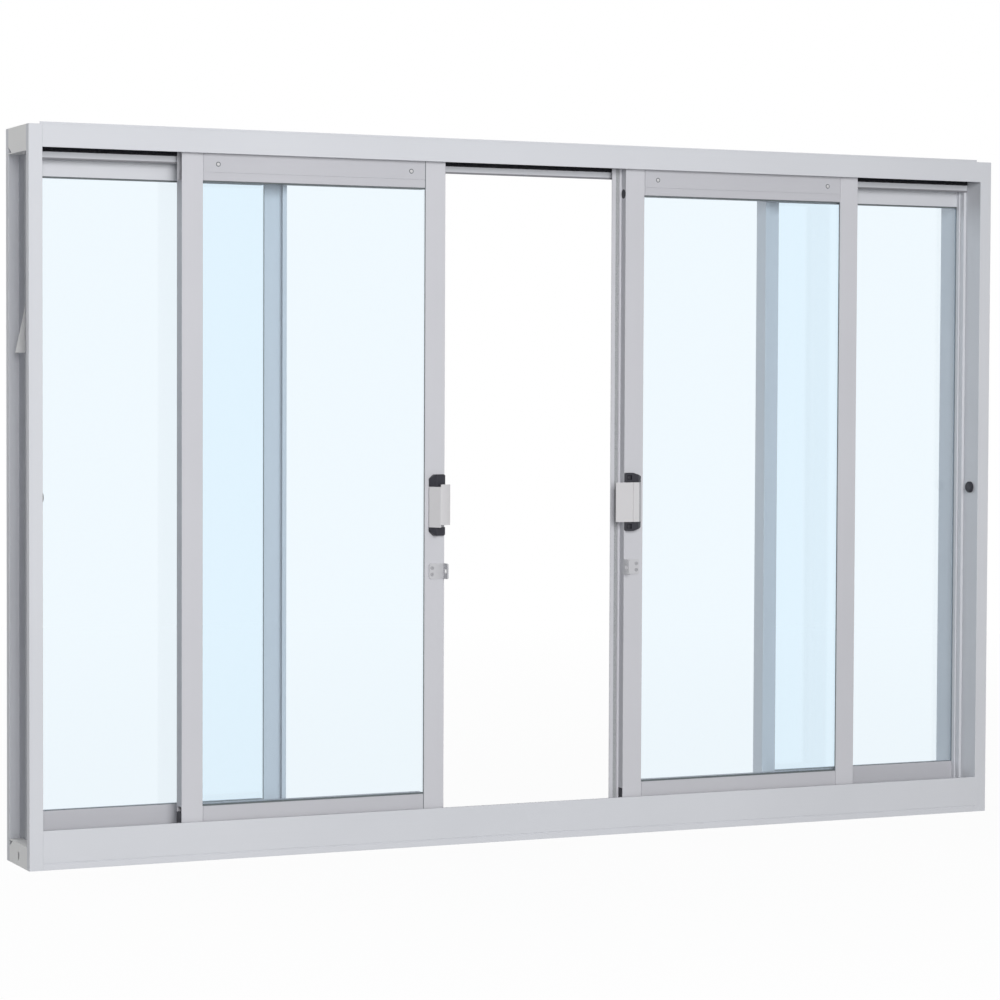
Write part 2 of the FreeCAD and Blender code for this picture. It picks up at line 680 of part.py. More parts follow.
def make_latch_tongue():
    """Right cover: a foot and a slope that rise to a flat tongue past the meeting edge."""
    path = proud_points([
        (TONGUE_WIDE, 0), (TONGUE_WIDE, LATCH_FOOT), (TONGUE_CREST, TONGUE_PROUD),
        (-TONGUE_OVERHANG, TONGUE_PROUD)])
    heights = (LATCH_COVER_LOW + HOOD_RAISED, LATCH_COVER_HIGH + HOOD_RAISED)
    cover = bar_z(sheet(path, -TONGUE_THICK), *heights, EDGE_RADIUS)
    root = SASH_FRONT - TONGUE_PROUD + TONGUE_THICK / 2
    edge_wall = block(SASH_WIDTH - TONGUE_THICK, SASH_WIDTH, root, SASH_FRONT, *heights)
    base = block(
        SASH_WIDTH - TONGUE_WIDE, SASH_WIDTH, SASH_FRONT - HOOD_SHELL, SASH_FRONT, *heights)
    middle = SASH_WIDTH - TONGUE_LINE
    front = SASH_FRONT - TONGUE_PROUD
    line = block(middle, middle + TONGUE_LINE_WIDE, front - TINY, front + LINE_DEEP, *heights)
    return joined([cover, edge_wall, base]).cut(line)


def make_latch_caps(points, bevel, low, high, raised):
    """Plastic ends below and above a cover, bevelled towards the glass and rounded."""
    outline = proud_points(points)
    x0 = min(x for x, depth in outline)
    x1 = max(x for x, depth in outline)
    caps = []
    for start, end, away in ((LATCH_COVER_HIGH + raised, high, 1), (LATCH_COVER_LOW + raised, low, -1)):
        corners = [(x0, start), (x1, start), (x1, end), (x0 + bevel[0], end), (x0, end - away * bevel[1])]
        envelope = bar_y(corners, SASH_FRONT - HOOD_PROUD, SASH_FRONT, CAP_ROUND)
        caps.append(bar_z(outline, *sorted((start, end)), CAP_INSET).common(envelope))
    return Part.makeCompound(caps)


def make_left_latch_caps():
    """Caps with a high outer part and a low step that lets the tongue pass."""
    foot = LATCH_FOOT - CAP_INSET
    outer = HOOD_WIDE - CAP_INSET
    points = [
        (outer, 0), (outer, foot), (LEFT_CAP_CREST, LEFT_CAP_PROUD), (LEFT_CAP_STEP, LEFT_CAP_PROUD),
        (LEFT_CAP_STEP, LEFT_CAP_LOW), (LEFT_CAP_EDGE, LEFT_CAP_LOW), (LEFT_CAP_EDGE, 0)]
    return make_latch_caps(points, LEFT_CAP_BEVEL, LATCH_LOW, LATCH_HIGH, 0)


def make_right_latch_caps():
    """Caps that follow the tongue's cover, each with a screw recess in its front."""
    foot = LATCH_FOOT - CAP_INSET
    outer = TONGUE_WIDE - CAP_INSET
    points = [
        (outer, 0), (outer, foot), (TONGUE_CREST, RIGHT_CAP_PROUD), (0, RIGHT_CAP_LOW), (0, 0)]
    low, high = LATCH_LOW + RIGHT_CAP_RAISED, LATCH_HIGH
    caps = make_latch_caps(points, RIGHT_CAP_BEVEL, low, high, HOOD_RAISED)
    x1 = SASH_WIDTH - SOCKET_START
    floor = SASH_FRONT - RIGHT_CAP_PROUD + SOCKET_DEEP
    cut = []
    for cap in caps.Solids:
        height = (cap.BoundBox.ZMin + cap.BoundBox.ZMax) / 2
        ends = (height - SOCKET_HIGH / 2, height + SOCKET_HIGH / 2)
        cut.append(cap.cut(block(x1 - SOCKET_WIDE, x1, -HOOD_PROUD, floor, *ends)))
    return Part.makeCompound(cut)


def make_hasp():
    """Angle plate with a padlock hole in its forward ear."""
    x1 = SASH_WIDTH
    x0 = x1 - HASP_WIDE
    face = SASH_FRONT - HASP_THICK
    tip = SASH_FRONT - HASP_PROUD
    outline = sheet([(x0, face), (x1 - HASP_THICK, face), (x1 - HASP_THICK, tip)], -HASP_THICK)
    plate = filleted(
        bar_z(outline, HASP_LOW, HASP_HIGH), HASP_ROUND,
        lambda box: box.ZLength < TINY and (box.YMax < FRONT + tip + TINY or box.XMax < x0 + TINY))
    hole = rod_x(HASP_HOLE_RADIUS, x0, x1, SASH_FRONT - HASP_HOLE_PROUD, (HASP_LOW + HASP_HIGH) / 2)
    return plate.cut(hole)


def export(shape, node):
    """Write one piece to its file."""
    shape.exportStep(os.path.join("parts", node + ".step"))


def build_frame():
    """Write the frame, the fixed lights and what is fastened to them."""
    anchor = make_anchor()
    bumper = make_bumper()
    export(Part.makeCompound([anchor, mirrored(anchor)]), "wall_anchors")
    export(Part.makeCompound([bumper, mirrored(bumper)]), "bumpers")
    export(make_head(), "head")
    export(make_sill(), "sill")
    for name, shape in (("jamb", make_jamb()), ("corner_plates", make_corner_plates())):
        export(shape, name + "_left")
        export(mirrored(shape), name + "_right")
    for name, shape in make_fixed_light(LEFT_STILE_X).items():
        export(shape, "fixed_left_" + name)
    for name, shape in make_fixed_light(RIGHT_STILE_X).items():
        export(mirrored(shape), "fixed_right_" + name)


def build_sashes():
    """Write both sashes at the places where they stand."""
    glass, rubber = make_sash_glazing()
    shared = {
        "outer_stile": make_outer_stile(), "top_rail": make_sash_rail(True),
        "bottom_rail": make_sash_rail(False), "glass": glass, "gasket": rubber,
        "rollers": make_rollers(), "top_guides": make_top_guides(), "hasp": make_hasp()}
    left = dict(shared)
    outer_block = make_outer_block()
    left_block = make_meeting_block(LEFT_MEETING_TUBE, END_BLOCK_PROUD)
    left["meeting_stile"] = make_meeting_stile(LEFT_MEETING_TUBE, [left_block])
    left["end_blocks"] = Part.makeCompound([outer_block, left_block])
    left["latch_cover"] = make_latch_hood()
    left["latch_caps"] = make_left_latch_caps()
    right = dict(shared)
    right_block = make_meeting_block(RIGHT_MEETING_TUBE, 0)
    plug = make_plug()
    right["meeting_stile"] = make_meeting_stile(RIGHT_MEETING_TUBE, [right_block, plug])
    right["end_blocks"] = Part.makeCompound([outer_block, right_block])
    right["latch_cover"] = make_latch_tongue()
    right["latch_caps"] = make_right_latch_caps()
    right["overlap_strip"] = make_overlap_strip()
    right["plug"] = plug
    for name, shape in left.items():
        export(shape.translated(Vector(LEFT_SASH_X - HALF, 0, 0)), "sash_left_" + name)
    for name, shape in right.items():
        turned = mirrored(shape).translated(Vector(RIGHT_SASH_X + SASH_WIDTH - HALF, 0, 0))
        export(turned, "sash_right_" + name)


os.makedirs("parts", exist_ok=True)
build_frame()
build_sashes()
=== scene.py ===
"""Looks of an aluminium horizontal sliding window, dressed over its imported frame."""

import logging
import math
import random
from dataclasses import dataclass, field
from enum import Enum
from typing import Any, Dict, List, Mapping, Optional, Sequence, Tuple, Union

import bmesh
import bpy
from mathutils import Matrix, Vector


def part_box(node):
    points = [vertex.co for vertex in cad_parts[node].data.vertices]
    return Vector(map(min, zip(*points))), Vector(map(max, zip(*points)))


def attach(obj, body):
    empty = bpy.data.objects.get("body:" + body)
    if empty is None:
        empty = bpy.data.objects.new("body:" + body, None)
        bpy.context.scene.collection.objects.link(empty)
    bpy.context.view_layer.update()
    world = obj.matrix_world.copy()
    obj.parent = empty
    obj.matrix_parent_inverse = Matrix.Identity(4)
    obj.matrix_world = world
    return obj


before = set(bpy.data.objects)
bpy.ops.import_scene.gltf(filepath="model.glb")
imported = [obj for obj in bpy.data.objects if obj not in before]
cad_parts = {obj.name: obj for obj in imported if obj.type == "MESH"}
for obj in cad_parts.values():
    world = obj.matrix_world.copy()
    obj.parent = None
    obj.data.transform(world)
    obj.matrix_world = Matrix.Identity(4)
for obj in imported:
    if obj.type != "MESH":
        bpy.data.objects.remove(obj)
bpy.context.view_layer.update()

log = logging.getLogger("window")

MM = 0.001
SMOOTH_ANGLE = math.radians(40.0)

ALONG = Vector((1.0, 0.0, 0.0))
ROOM = Vector((0.0, -1.0, 0.0))
UP = Vector((0.0, 0.0, 1.0))

Colour = Tuple[float, float, float]
Place = Tuple[float, float, float]
Point = Tuple[float, float]
Operand = Union["Value", float]

WHITE: Colour = (1.0, 1.0, 1.0)


class Grain(Enum):
    """Direction in which a bar was drawn through the die."""

    ACROSS = "across"
    UPRIGHT = "upright"
    THROUGH = "through"


class Side(Enum):
    """Half of the window, as seen from the room."""

    LEFT = "left"
    RIGHT = "right"


class Body(Enum):
    """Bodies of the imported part."""

    FRAME = "frame"
    SASH_LEFT = "sash_left"
    SASH_RIGHT = "sash_right"


# Shader building


def opaque(colour: Colour) -> Tuple[float, float, float, float]:
    """Colour with a full alpha."""
    return (*colour, 1.0)


class Value:
    """A socket that adds the maths nodes when it is used in an expression."""

    def __init__(self, shader: "Shader", socket: bpy.types.NodeSocket) -> None:
        """Wrap a socket.

        Args:
            shader: The builder that owns the node tree.
            socket: The output to read.
        """
        self.shader = shader
        self.socket = socket

    def _maths(self, operation: str, first: Operand, second: Operand) -> "Value":
        """Join two operands with one maths node."""
        return self.shader.node(
            "ShaderNodeMath", {"operation": operation}, {0: first, 1: second})

    def __add__(self, other: Operand) -> "Value":
        """Sum."""
        return self._maths("ADD", self, other)

    def __radd__(self, other: Operand) -> "Value":
        """Sum with a number on the left."""
        return self._maths("ADD", other, self)

    def __sub__(self, other: Operand) -> "Value":
        """Difference."""
        return self._maths("SUBTRACT", self, other)

    def __rsub__(self, other: Operand) -> "Value":
        """Difference from a number."""
        return self._maths("SUBTRACT", other, self)

    def __mul__(self, other: Operand) -> "Value":
        """Product."""
        return self._maths("MULTIPLY", self, other)

    def __rmul__(self, other: Operand) -> "Value":
        """Product with a number on the left."""
        return self._maths("MULTIPLY", other, self)


class Shader:
    """Builder of the node tree of a material or a world."""

    def __init__(self, owner: Union[bpy.types.Material, bpy.types.World]) -> None:
        """Start with an empty tree.

        Args:
            owner: The material or world.
        """
        self.owner = owner
        owner.use_nodes = True
        self.tree = owner.node_tree
        self.tree.nodes.clear()

    @classmethod
    def material(cls, name: str) -> "Shader":
        """Builder for a new material."""
        return cls(bpy.data.materials.new(name))

    def node(
        self,
        kind: str,
        settings: Optional[Mapping[str, Any]] = None,
        inputs: Optional[Mapping[Union[int, str], Any]] = None,
        output: Union[int, str] = 0,
    ) -> Value:
        """Add a node.

        Args:
            kind: Type of the node.
            settings: Attributes of the node.
            inputs: Numbers, colours or values for its sockets.
            output: Socket to hand back.

        Returns:
            The chosen output.
        """
        made = self.tree.nodes.new(kind)
        for name, setting in (settings or {}).items():
            setattr(made, name, setting)
        for name, given in (inputs or {}).items():
            if isinstance(given, Value):
                self.tree.links.new(given.socket, made.inputs[name])
            else:
                made.inputs[name].default_value = given
        return Value(self, made.outputs[output] if made.outputs else None)

    def place(self, scale: Sequence[float]) -> Value:
        """Object coordinates stretched by a scale for each axis."""
        coordinates = self.node("ShaderNodeTexCoord", output="Object")
        return self.node("ShaderNodeMapping", {}, {"Vector": coordinates, "Scale": scale})

    def noise(
        self, scale: Union[float, Sequence[float]], detail: float = 2.0, roughness: float = 0.5
    ) -> Value:
        """Noise between nought and one on object coordinates.

        Args:
            scale: Cells per metre, the same on every axis or one for each.
            detail: Octaves.
            roughness: Weight of the finer octaves.

        Returns:
            The noise's value.
        """
        cells = (scale, scale, scale) if isinstance(scale, float) else scale
        return self.node(
            "ShaderNodeTexNoise", {"noise_dimensions": "3D"},
            {"Vector": self.place(cells), "Scale": 1.0, "Detail": detail, "Roughness": roughness})

    def blend(self, factor: Operand, first: Colour, second: Colour) -> Value:
        """Colour between two by a factor."""
        return self.node(
            "ShaderNodeMix", {"data_type": "RGBA"},
            {0: factor, 6: opaque(first), 7: opaque(second)}, output=2)

    def mix(self, factor: Operand, first: Value, second: Value) -> Value:
        """Surface between two by a factor."""
        return self.node("ShaderNodeMixShader", {}, {0: factor, 1: first, 2: second})

    def bump(self, height: Operand, strength: float, distance: float) -> Value:
        """Normal bent by a height."""
        return self.node(
            "ShaderNodeBump", {}, {"Height": height, "Strength": strength, "Distance": distance})

    def ray(self, path: str) -> Value:
        """One on rays of a kind, such as Is Camera Ray."""
        return self.node("ShaderNodeLightPath", output=path)

    def looked_at(self) -> Value:
        """One where the eye looks, also through glass or in the gloss of metal."""
        straight, through = self.ray("Is Camera Ray"), self.ray("Is Transmission Ray")
        return straight + through + self.ray("Is Glossy Ray")

    def finish(self, surface: Value) -> Union[bpy.types.Material, bpy.types.World]:
        """Join a surface to the output.

        Args:
            surface: Output of a surface or background shader.

        Returns:
            The finished material or world.
        """
        world = isinstance(self.owner, bpy.types.World)
        kind = "ShaderNodeOutputWorld" if world else "ShaderNodeOutputMaterial"
        self.node(kind, {}, {"Surface": surface})
        return self.owner


# Finishes


@dataclass(frozen=True)
class AnodisedMetal:
    """Satin anodised aluminium with die lines along the bar and faint cloudiness."""

    name: str
    pale: Colour
    deep: Colour
    roughness: float = 0.55
    metallic: float = 0.20
    line_pitch: float = 1100.0
    line_stretch: float = 1.6
    cloud_pitch: float = 5.0
    smudge_pitch: float = 38.0
    speck_pitch: float = 2600.0
    cloud_share: float = 0.65
    line_share: float = 0.35
    roughness_swing: float = 0.10
    line_relief: float = 0.7
    speck_relief: float = 0.3
    relief_strength: float = 0.35
    relief_height: float = 0.00003

    def build(self, grain: Grain) -> bpy.types.Material:
        """Make the material.

        Args:
            grain: Direction of the die lines.

        Returns:
            The material.
        """
        shader = Shader.material(f"{self.name}_{grain.value}")
        along, across = self.line_stretch, self.line_pitch
        scale = {
            Grain.ACROSS: (along, across, across),
            Grain.UPRIGHT: (across, across, along),
            Grain.THROUGH: (across, along, across),
        }[grain]
        lines = shader.noise(scale, detail=3.0, roughness=0.6)
        clouds = shader.noise(self.cloud_pitch)
        smudges = shader.noise(self.smudge_pitch, detail=4.0, roughness=0.6)
        specks = shader.noise(self.speck_pitch, detail=1.0)
        tone = clouds * self.cloud_share + lines * self.line_share
        wear = (lines - 0.5) * self.roughness_swing
        relief = lines * self.line_relief + specks * self.speck_relief
        surface = shader.node("ShaderNodeBsdfPrincipled", {}, {
            "Base Color": shader.blend(tone, self.deep, self.pale),
            "Metallic": self.metallic,
            "Roughness": self.roughness + wear + (smudges - 0.5) * self.roughness_swing,
            "Normal": shader.bump(relief, self.relief_strength, self.relief_height),
        })
        return shader.finish(surface)


@dataclass(frozen=True)
class FloatGlass:
    """Clear glass with the faint blue of a white room behind it."""

    name: str = "float_glass"
    tint: Colour = (0.87, 0.95, 1.0)
    index: float = 1.45
    wave_pitch: float = 9.0
    wave_strength: float = 0.05
    wave_height: float = 0.0002

    def build(self) -> bpy.types.Material:
        """Make the material; shadow and diffuse rays pass it straight."""
        shader = Shader.material(self.name)
        waves = shader.noise(self.wave_pitch, detail=1.0)
        pane = shader.node("ShaderNodeBsdfPrincipled", {}, {
            "Base Color": opaque(self.tint),
            "Roughness": 0.0,
            "IOR": self.index,
            "Transmission Weight": 1.0,
            "Normal": shader.bump(waves, self.wave_strength, self.wave_height),
        })
        face = tuple(math.sqrt(part) for part in self.tint)
        clear = shader.node("ShaderNodeBsdfTransparent", {}, {"Color": opaque(face)})
        straight = shader.ray("Is Shadow Ray") + shader.ray("Is Diffuse Ray")
        return shader.finish(shader.mix(straight, pane, clear))


@dataclass(frozen=True)
class RubberSeal:
    """Matt glazing rubber with dust in its pores."""

    name: str = "glazing_rubber"
    dark: Colour = (0.108, 0.125, 0.131)
    dusty: Colour = (0.168, 0.187, 0.193)
    dust_pitch: float = 60.0
    pore_pitch: float = 2400.0
    roughness: float = 0.55
    dust_roughness: float = 0.25
    specular: float = 0.4
    pore_strength: float = 0.4
    pore_height: float = 0.00005

    def build(self) -> bpy.types.Material:
        """Make the material."""
        shader = Shader.material(self.name)
        dust = shader.noise(self.dust_pitch, detail=4.0, roughness=0.6)
        pores = shader.noise(self.pore_pitch)
        surface = shader.node("ShaderNodeBsdfPrincipled", {}, {
            "Base Color": shader.blend(dust, self.dark, self.dusty),
            "Roughness": self.roughness + dust * self.dust_roughness,
            "Specular IOR Level": self.specular,
            "Normal": shader.bump(pores, self.pore_strength, self.pore_height),
        })
        return shader.finish(surface)


@dataclass(frozen=True)
class MouldedNylon:
    """Black nylon with a fine spark texture from its mould."""

    name: str = "black_nylon"
    dark: Colour = (0.011, 0.011, 0.016)
    worn: Colour = (0.032, 0.032, 0.042)
    grit_pitch: float = 1900.0
    wear_pitch: float = 90.0
    roughness: float = 0.38
    grit_roughness: float = 0.22
    grit_strength: float = 0.6
    grit_height: float = 0.00006

    def build(self) -> bpy.types.Material:
        """Make the material."""
        shader = Shader.material(self.name)
        grit = shader.noise(self.grit_pitch, detail=2.0, roughness=0.7)
        wear = shader.noise(self.wear_pitch, detail=4.0, roughness=0.6)
        surface = shader.node("ShaderNodeBsdfPrincipled", {}, {
            "Base Color": shader.blend(wear, self.dark, self.worn),
            "Roughness": self.roughness + grit * self.grit_roughness,
            "Normal": shader.bump(grit, self.grit_strength, self.grit_height),
        })
        return shader.finish(surface)


@dataclass(frozen=True)
class WovenPile:
    """Brush pile of a seal."""

    name: str
    dark: Colour
    pale: Colour
    tuft_pitch: float = 700.0
    roughness: float = 0.85
    sheen: float = 0.1

    def build(self) -> bpy.types.Material:
        """Make the material."""
        shader = Shader.material(self.name)
        tufts = shader.noise(self.tuft_pitch)
        surface = shader.node("ShaderNodeBsdfPrincipled", {}, {
            "Base Color": shader.blend(tufts, self.dark, self.pale),
            "Roughness": self.roughness,
            "Sheen Weight": self.sheen,
        })
        return shader.finish(surface)


class Finishes:
    """Every finish of the window, made once."""

    def __init__(self) -> None:
        """Make the materials."""
        bars = AnodisedMetal("frame_aluminium", (0.68, 0.69, 0.72), (0.60, 0.61, 0.64))
        sashes = AnodisedMetal("sash_aluminium", (0.62, 0.62, 0.65), (0.55, 0.55, 0.58))
        # The rails wear the sash metal made darker: painted shade for the duller sheen of bars
        # drawn across, and for the shaded bottom rails of the fixed lights.
        rails = AnodisedMetal("rail_aluminium_painted_shade", (0.56, 0.56, 0.59), (0.49, 0.49, 0.52))
        hardware = AnodisedMetal(
            "hardware_aluminium", (0.665, 0.655, 0.665), (0.590, 0.580, 0.590),
            roughness=0.50, metallic=0.25, line_pitch=2200.0)
        zinc = AnodisedMetal(
            "screw_zinc", (0.50, 0.50, 0.52), (0.38, 0.38, 0.40), roughness=0.35, metallic=0.60)
        black = AnodisedMetal(
            "screw_black", (0.060, 0.060, 0.070), (0.022, 0.022, 0.028),
            roughness=0.30, metallic=0.3)
        steel = AnodisedMetal(
            "hasp_steel", (0.60, 0.60, 0.62), (0.51, 0.51, 0.53), roughness=0.45, metallic=0.45)
        sheet = AnodisedMetal(
            "plate_aluminium", (0.88, 0.88, 0.87), (0.70, 0.70, 0.69),
            line_pitch=700.0, line_stretch=6.0)
        self.frame: Dict[Grain, bpy.types.Material] = {
            grain: bars.build(grain) for grain in (Grain.ACROSS, Grain.UPRIGHT)}
        self.sash = sashes.build(Grain.UPRIGHT)
        self.rail = rails.build(Grain.ACROSS)
        self.latch = hardware.build(Grain.UPRIGHT)
        self.plug = hardware.build(Grain.THROUGH)
        self.screw = zinc.build(Grain.THROUGH)
        self.screw_black = black.build(Grain.THROUGH)
        self.hasp = steel.build(Grain.UPRIGHT)
        self.plate = sheet.build(Grain.UPRIGHT)
        self.glass = FloatGlass().build()
        self.rubber = RubberSeal().build()
        self.rubber_grey = RubberSeal(
            "grey_rubber", (0.190, 0.190, 0.205), (0.270, 0.270, 0.285)).build()
        self.nylon = MouldedNylon().build()
        # Black pile, made bluish near-black so that on the head it also paints the dark shade
        # behind the fascia.
        self.pile_black_and_shade = WovenPile(
            "pile_black_and_shade", (0.005, 0.005, 0.012), (0.018, 0.018, 0.030)).build()
        self.pile_grey = WovenPile(
            "pile_grey", (0.26, 0.27, 0.28), (0.46, 0.47, 0.48)).build()


# Mesh building


class Piece:
    """A mesh that is collected from parts and then seated on a body."""

    def __init__(self, name: str) -> None:
        """Start an empty mesh.

        Args:
            name: Name of the piece.
        """
        self.name = name
        self.mesh = bmesh.new()

    def add(self, part: bpy.types.Mesh, place: Matrix) -> None:
        """Add a copy of a mesh at a place."""
        start = len(self.mesh.verts)
        self.mesh.from_mesh(part)
        self.mesh.verts.ensure_lookup_table()
        bmesh.ops.transform(self.mesh, matrix=place, verts=self.mesh.verts[start:])

    def extrude(self, outline: Sequence[Vector], reach: Vector) -> None:
        """Add a closed bar.

        Args:
            outline: Corners of its first end.
            reach: Way from the first end to the other.
        """
        near, far = (
            [self.mesh.verts.new(spot + step) for spot in outline] for step in (Vector(), reach))
        sides = [self.mesh.faces.new(near[::-1]), self.mesh.faces.new(far)]
        for index in range(len(outline)):
            after = (index + 1) % len(outline)
            corners = (near[index], near[after], far[after], far[index])
            sides.append(self.mesh.faces.new(corners))
        bmesh.ops.recalc_face_normals(self.mesh, faces=sides)

    def seat(self, body: Body, slot: str, material: bpy.types.Material) -> None:
        """Turn the mesh into an object that rides on a body.

        Args:
            body: The body that carries it.
            slot: Slot of the record that its finish belongs to; not used.
            material: Its material.
        """
        data = bpy.data.meshes.new(self.name)
        self.mesh.to_mesh(data)
        self.mesh.free()
        data.shade_smooth()
        data.set_sharp_from_angle(angle=SMOOTH_ANGLE)
        data.materials.append(material)
        made = bpy.data.objects.new(self.name, data)
        bpy.context.scene.collection.objects.link(made)
        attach(made, body.value)
        log.info("%s: %d faces on %s", self.name, len(data.polygons), body.value)


def lathe(profile: Sequence[Point], segments: int) -> bpy.types.Mesh:
    """Turned mesh about Z.

    Args:
        profile: (radius, height) points in millimetres, from the axis out and back.
        segments: Number of sides.

    Returns:
        The mesh, in millimetres.
    """
    work = bmesh.new()
    rings: List[List[bmesh.types.BMVert]] = []
    for radius, height in profile:
        if radius <= 0.0:
            rings.append([work.verts.new((0.0, 0.0, height))])
            continue
        turns = (2.0 * math.pi * step / segments for step in range(segments))
        rings.append([
            work.verts.new((radius * math.cos(turn), radius * math.sin(turn), height))
            for turn in turns])
    for inner, outer in zip(rings, rings[1:]):
        for step in range(segments):
            following = (step + 1) % segments
            ring = [inner[step % len(inner)], outer[step % len(outer)],
                    outer[following % len(outer)], inner[following % len(inner)]]
            corners = list(dict.fromkeys(ring))
            if len(corners) > 2:
                work.faces.new(corners)
    bmesh.ops.recalc_face_normals(work, faces=work.faces[:])
    made = bpy.data.meshes.new("turned")
    work.to_mesh(made)
    work.free()
    return made


def cut_with(body: bpy.types.Mesh, tool: bpy.types.Mesh) -> bpy.types.Mesh:
    """Mesh with the space of a tool taken out.

    Args:
        body: Mesh to cut.
        tool: Mesh of the space, whose own parts may cross.

    Returns:
        The cut mesh.
    """
    scene = bpy.context.scene
    target = bpy.data.objects.new("target", body)
    cutter = bpy.data.objects.new("cutter", tool)
    for made in (target, cutter):
        scene.collection.objects.link(made)
    change = target.modifiers.new("cut", "BOOLEAN")
    change.object = cutter
    change.operation = "DIFFERENCE"
    change.solver = "EXACT"
    change.use_self = True
    graph = bpy.context.evaluated_depsgraph_get()
    result = bpy.data.meshes.new_from_object(target.evaluated_get(graph))
    for made in (target, cutter):
        bpy.data.objects.remove(made)
    return result


def facing(spot: Vector, direction: Vector, turn: float = 0.0) -> Matrix:
    """Place for a part in millimetres whose own Z looks along a direction.

    Args:
        spot: Place of its foot, in metres.
        direction: Where its top looks.
        turn: Turn about its own axis, in radians.

    Returns:
        The matrix, with the scale from millimetres to metres.
    """
    looking = direction.to_track_quat("Z", "Y").to_matrix().to_4x4()
    turned = looking @ Matrix.Rotation(turn, 4, "Z")
    return Matrix.Translation(spot) @ turned @ Matrix.Scale(MM, 4)


@dataclass
class PanScrew:
    """Small pan head screw with a cross recess, in millimetres."""

    radius: float = 2.6
    height: float = 1.4
    recess_long: float = 3.0
    recess_wide: float = 0.7
    recess_deep: float = 0.9
    floor_ratio: float = 0.55
    side_taper: float = 0.4
    overshoot: float = 0.5
    segments: int = 28
    crown: Tuple[Point, ...] = (
        (0.0, 0.0), (1.0, 0.0), (1.0, 0.35), (0.93, 0.66), (0.74, 0.89), (0.45, 0.98), (0.0, 1.0))

    def build(self) -> bpy.types.Mesh:
        """Make the head, standing on its plane."""
        profile = [(self.radius * out, self.height * up) for out, up in self.crown]
        return cut_with(lathe(profile, self.segments), self._recess())

    def _recess(self) -> bpy.types.Mesh:
        """Cross that narrows towards its floor."""
        work = bmesh.new()
        levels = (
            (self.height - self.recess_deep, self.floor_ratio), (self.height + self.overshoot, 1.0))
        half, wide = self.recess_long / 2.0, self.recess_wide / 2.0
        for turn in (0.0, math.pi / 2.0):
            turned = Matrix.Rotation(turn, 3, "Z")
            corners = []
            for level, ratio in levels:
                narrow = 1.0 - self.side_taper + self.side_taper * ratio
                for along, across in ((-1, -1), (1, -1), (1, 1), (-1, 1)):
                    spot = Vector((along * half * ratio, across * wide * narrow, level))
                    corners.append(work.verts.new(turned @ spot))
            for side in (
                    (0, 3, 2, 1), (4, 5, 6, 7), (0, 1, 5, 4), (1, 2, 6, 5), (2, 3, 7, 6),
                    (3, 0, 4, 7)):
                work.faces.new([corners[index] for index in side])
        made = bpy.data.meshes.new("recess")
        work.to_mesh(made)
        work.free()
        return made


@dataclass
class RailPlug:
    """Domed access plug in a dark ring, in millimetres."""

    radius: float = 2.3
    crown: Tuple[Point, ...] = (
        (0.0, 0.0), (1.0, 0.0), (1.0, 0.25), (0.8, 0.55), (0.4, 0.72), (0.0, 0.78))
    ring_radius: float = 3.4
    ring_height: float = 0.22
    ring_slope: float = 0.2
    segments: int = 32

    def dome(self) -> bpy.types.Mesh:
        """Make the plug's head."""
        return lathe([(self.radius * out, height) for out, height in self.crown], self.segments)

    def ring(self) -> bpy.types.Mesh:
        """Make the ring round the head."""
        inner, outer, slope = self.radius, self.ring_radius, self.ring_slope
        return lathe([
            (inner, 0.0), (outer, 0.0), (outer - slope, self.ring_height),
            (inner + slope, self.ring_height), (inner, 0.0)], self.segments)


@dataclass
class Brush:
    """Pile seal: a woven back with rows of bristles, in metres."""

    wide: float
    reach: float
    back: float = 0.0004
    pitch: float = 0.0012
    row_pitch: float = 0.0011
    bristle: float = 0.0013
    stray: Point = (0.2, 0.8)
    lean_along: float = 0.4 * MM
    lean_across: float = 0.3 * MM
    shortest: float = 0.88
    tip_ratio: float = 0.7
    seed: int = 7

    def build(
        self, name: str, start: Vector, along: Vector, across: Vector, length: float
    ) -> Piece:
        """Make the seal.

        Args:
            name: Name of the piece.
            start: Corner of the woven back, on the surface that carries it.
            along: Direction of its length.
            across: Direction of its width; the bristles look along the product of both.
            length: Its length.

        Returns:
            The piece, not seated yet.
        """
        made = Piece(name)
        out = along.cross(across)
        side, thick = across * self.wide, out * self.back
        made.extrude([start, start + side, start + side + thick, start + thick], along * length)
        chance = random.Random(self.seed)
        rows = max(int(self.wide / self.row_pitch), 2)
        for row in range(rows):
            for step in range(int(length / self.pitch)):
                foot = start + across * self.wide * (row + 0.5) / rows
                foot += along * self.pitch * (step + chance.uniform(*self.stray))
                turn = chance.uniform(0.0, math.pi)
                half = (along * math.cos(turn) + across * math.sin(turn)) * self.bristle / 2.0
                lean = along * chance.uniform(-self.lean_along, self.lean_along)
                lean += across * chance.uniform(-self.lean_across, self.lean_across)
                top = foot + out * self.reach * chance.uniform(self.shortest, 1.0) + lean
                tip = half * self.tip_ratio
                spots = (foot - half, foot + half, top + tip, top - tip)
                made.mesh.faces.new([made.mesh.verts.new(spot) for spot in spots])
        return made


# The window's assemblies


def dress(nodes: Sequence[str], material: bpy.types.Material) -> None:
    """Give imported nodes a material.

    Args:
        nodes: Names of the nodes.
        material: Their finish.
    """
    for name in nodes:
        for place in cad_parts[name].material_slots:
            place.material = material
        log.info("%s wears %s", name, material.name)


